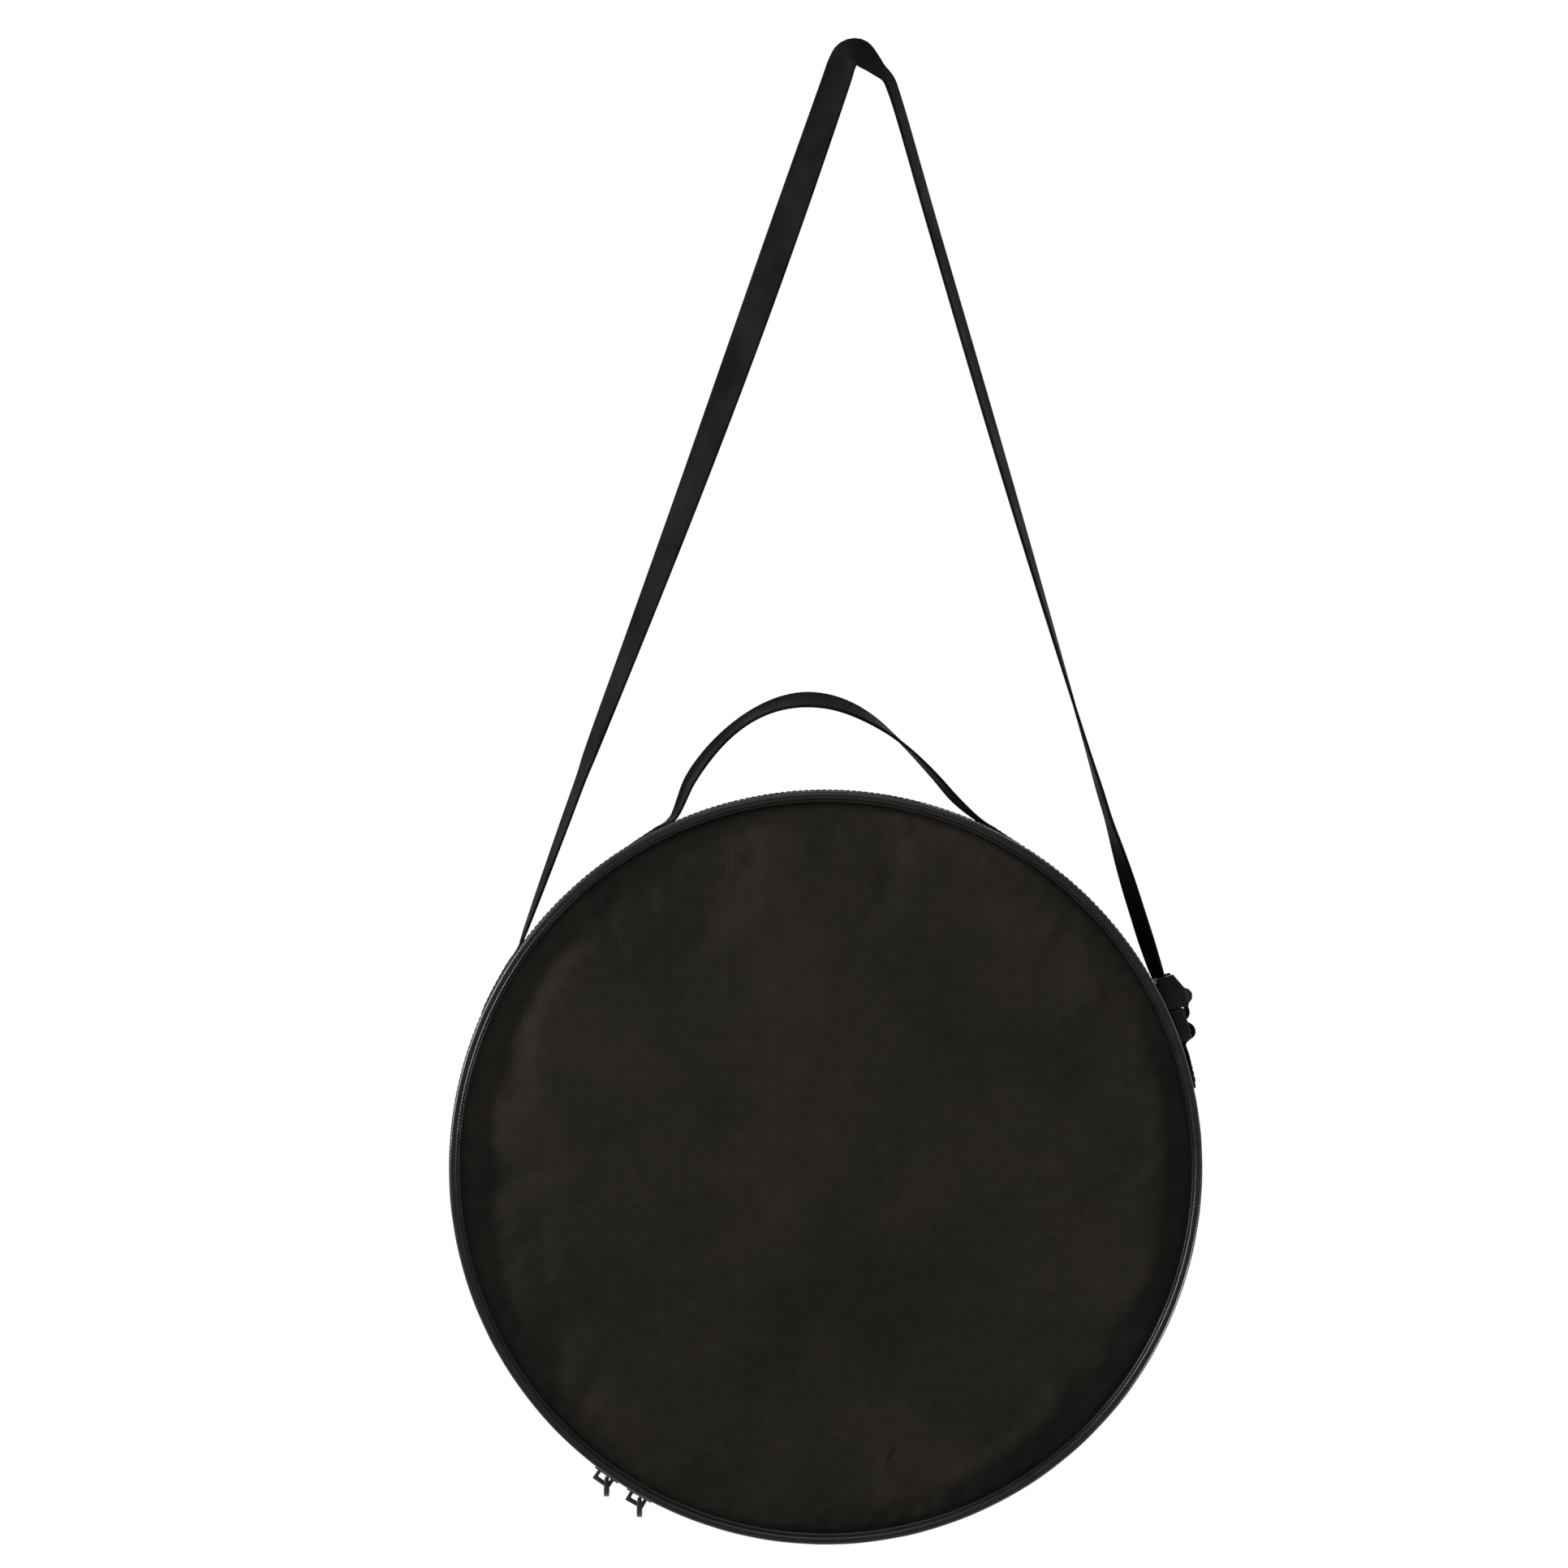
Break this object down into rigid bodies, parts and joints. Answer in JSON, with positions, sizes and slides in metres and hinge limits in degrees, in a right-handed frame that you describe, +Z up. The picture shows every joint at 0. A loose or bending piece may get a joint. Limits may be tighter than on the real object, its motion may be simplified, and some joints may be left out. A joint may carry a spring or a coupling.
{
  "type": "round storage pouch",
  "caption": "Round padded pouch with a zip round its side wall, piped edges, a webbing carry handle and a webbing shoulder strap from which it hangs.",
  "frame": {"origin": "the underside of the strap at its top turn, where it goes over a hook", "axes": "+Z up along the hanging strap, -Y out of the front panel, +X to the right seen from the front"},
  "size_m": [0.4003, 0.1134, 0.8059],
  "materials": {
    "outer_cloth": "warm black woven polyester, dull",
    "padding": "dark grey foam sheet",
    "lining": "thin black lining cloth",
    "piping": "black covered cord, slightly shiny",
    "webbing": "black ribbed polypropylene webbing",
    "zip_tape": "black knitted zip tape",
    "zip_coil": "black nylon coil",
    "slider_metal": "black enamelled zinc",
    "buckle_plastic": "black moulded acetal"
  },
  "bodies": {
    "strap": {"shoulder_strap": "webbing"},
    "pouch": {"back_panel": "outer_cloth", "back_foam": "padding", "back_lining": "lining", "back_piping": "piping", "back_seam_binding": "lining", "back_band": "outer_cloth", "band_foam": "padding", "band_lining": "lining", "back_zip_tape": "zip_tape", "back_zip_coil": "zip_coil", "base_gusset": "outer_cloth", "strap_left_end": "webbing", "strap_right_end": "webbing", "ring_tab": "webbing", "strap_ring": "buckle_plastic", "handle_left_end": "webbing", "handle_right_end": "webbing"},
    "lid": {"front_panel": "outer_cloth", "front_foam": "padding", "front_lining": "lining", "front_piping": "piping", "front_seam_binding": "lining", "front_band": "outer_cloth", "front_zip_tape": "zip_tape", "front_zip_coil": "zip_coil", "base_gusset_flap": "outer_cloth"},
    "handle": {"carry_handle": "webbing"},
    "slider_a": {"zip_slider_a": "slider_metal"},
    "pull_a": {"zip_pull_a": "slider_metal"},
    "slider_b": {"zip_slider_b": "slider_metal"},
    "pull_b": {"zip_pull_b": "slider_metal"},
    "adjuster": {"strap_adjuster": "buckle_plastic", "strap_return": "webbing"}
  },
  "joints": [
    {"name": "pouch_swing", "type": "hinge", "parent": "strap", "child": "pouch", "pos_m": [-0.0112, 0, -0.391], "axis": [1, 0, 0], "range_deg": [-60, 60]},
    {"name": "lid_open", "type": "hinge", "parent": "pouch", "child": "lid", "pos_m": [-0.017, -0.02627, -0.80037], "axis": [1, 0, 0], "range_deg": [0, 150]},
    {"name": "handle_fold", "type": "hinge", "parent": "pouch", "child": "handle", "pos_m": [-0.017, 0, -0.40357], "axis": [1, 0, 0], "range_deg": [-60, 60], "stiffness_Nm_per_rad": 0.03},
    {"name": "slider_a_travel", "type": "hinge", "parent": "pouch", "child": "slider_a", "pos_m": [-0.017, -0.02627, -0.599], "axis": [0, 1, 0], "range_deg": [0, 1]},
    {"name": "pull_a_swing", "type": "hinge", "parent": "slider_a", "child": "pull_a", "pos_m": [-0.11642, -0.02627, -0.7783], "axis": [0, 1, 0], "range_deg": [-50, 80]},
    {"name": "slider_b_travel", "type": "hinge", "parent": "pouch", "child": "slider_b", "pos_m": [-0.017, -0.02627, -0.599], "axis": [0, 1, 0], "range_deg": [0, 289]},
    {"name": "pull_b_swing", "type": "hinge", "parent": "slider_b", "child": "pull_b", "pos_m": [-0.13403, -0.02627, -0.76734], "axis": [0, 1, 0], "range_deg": [-40, 110]},
    {"name": "adjuster_slide", "type": "slide", "parent": "pouch", "child": "adjuster", "axis": [-0.2881, 0, 0.9576], "range_m": [0, 0.092]}
  ]
}
